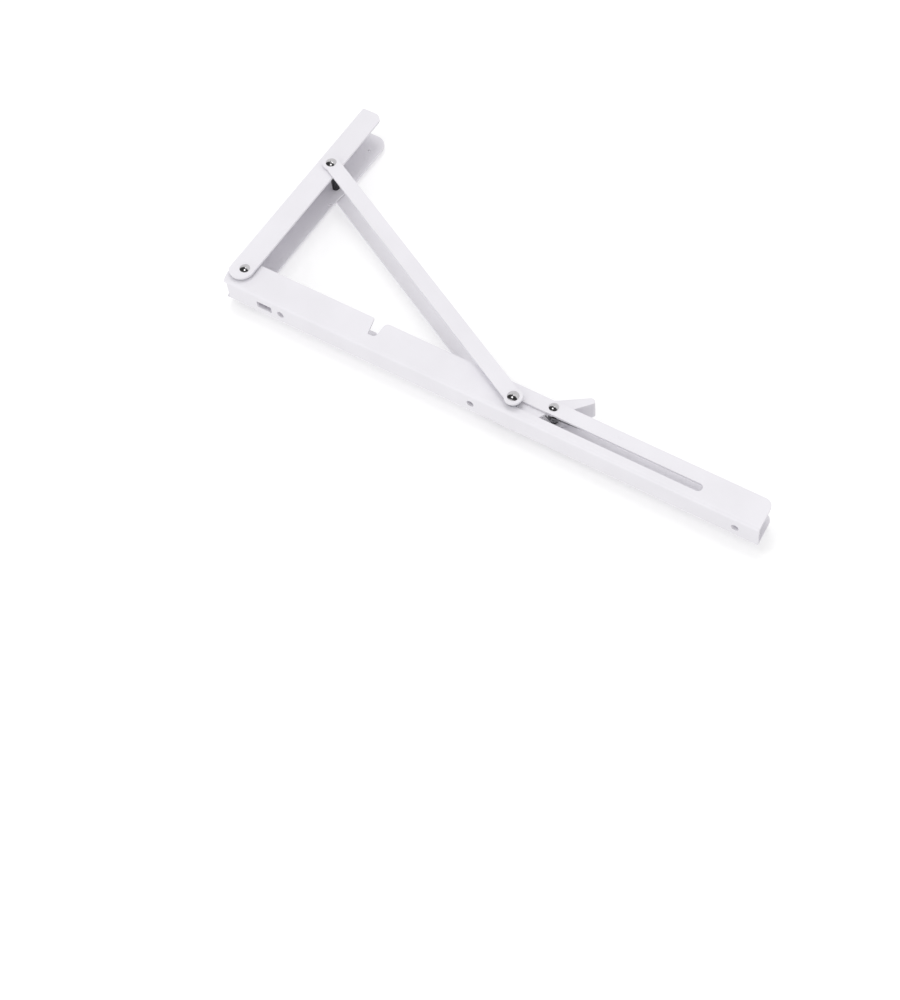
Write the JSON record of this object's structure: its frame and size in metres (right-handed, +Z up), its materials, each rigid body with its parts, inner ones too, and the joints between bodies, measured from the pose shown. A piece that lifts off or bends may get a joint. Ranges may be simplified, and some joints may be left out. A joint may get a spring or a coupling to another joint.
{
  "type": "folding shelf bracket",
  "caption": "Folding shelf bracket: a channel shelf arm hinged to a wall arm, braced by a strut whose pin slides in a slot and is locked by a sprung latch.",
  "frame": {"origin": "midway between the two wall screw holes, on the face that lies against the wall", "axes": "+X out from the wall along the open shelf arm, +Y across the bracket, +Z up"},
  "size_m": [0.3532, 0.0296, 0.1515],
  "materials": {
    "white_coat": "white powder coat on pressed steel, fine orange peel",
    "nickel_plate": "bright nickel plate on domed rivet heads",
    "dark_steel": "black oxide on a turned sleeve",
    "zinc_plate": "bright zinc plate on turned steel",
    "spring_wire": "drawn spring wire"
  },
  "bodies": {
    "wall_arm": {"wall_arm": "white_coat", "arm_pivot_rivet": "nickel_plate", "arm_pivot_spacer_front": "zinc_plate", "arm_pivot_spacer_back": "zinc_plate"},
    "shelf_arm": {"shelf_arm": "white_coat", "latch_rivet": "nickel_plate", "latch_sleeve": "dark_steel", "latch_spring": "spring_wire"},
    "strut": {"strut_bar_front": "white_coat", "strut_bar_back": "white_coat", "strut_pivot_rivet": "nickel_plate", "strut_pivot_sleeve": "dark_steel", "slot_pin_head_front": "nickel_plate", "slot_pin_head_back": "nickel_plate"},
    "slot_pin": {"slot_pin_end_front": "zinc_plate", "slot_pin_end_back": "zinc_plate", "slot_pin_core": "zinc_plate", "slot_pin_spacer_front": "zinc_plate", "slot_pin_spacer_back": "zinc_plate"},
    "latch": {"latch_lever": "white_coat"}
  },
  "joints": [
    {"name": "fold", "type": "hinge", "parent": "wall_arm", "child": "shelf_arm", "pos_m": [0.0097, 0, 0.075], "axis": [0, 1, 0], "range_deg": [0, 89]},
    {"name": "strut_swing", "type": "hinge", "parent": "wall_arm", "child": "strut", "pos_m": [0.0097, 0, -0.01665], "axis": [0, 1, 0], "range_deg": [0, 114.6]},
    {"name": "pin_slide", "type": "slide", "parent": "shelf_arm", "child": "slot_pin", "axis": [1, 0, 0], "range_m": [0, 0.1143]},
    {"name": "latch_press", "type": "hinge", "parent": "shelf_arm", "child": "latch", "pos_m": [0.2182, 0, 0.0708], "axis": [0, -1, 0], "range_deg": [0, 27], "stiffness_Nm_per_rad": 0.03, "springref_deg": -34.38, "deforming": ["latch_spring"]}
  ],
  "couplings": [
    {"joint": "strut_swing", "follows": "fold", "ratio": 1.2874},
    {"joint": "pin_slide", "follows": "fold", "m_per_rad": 0.073572}
  ]
}
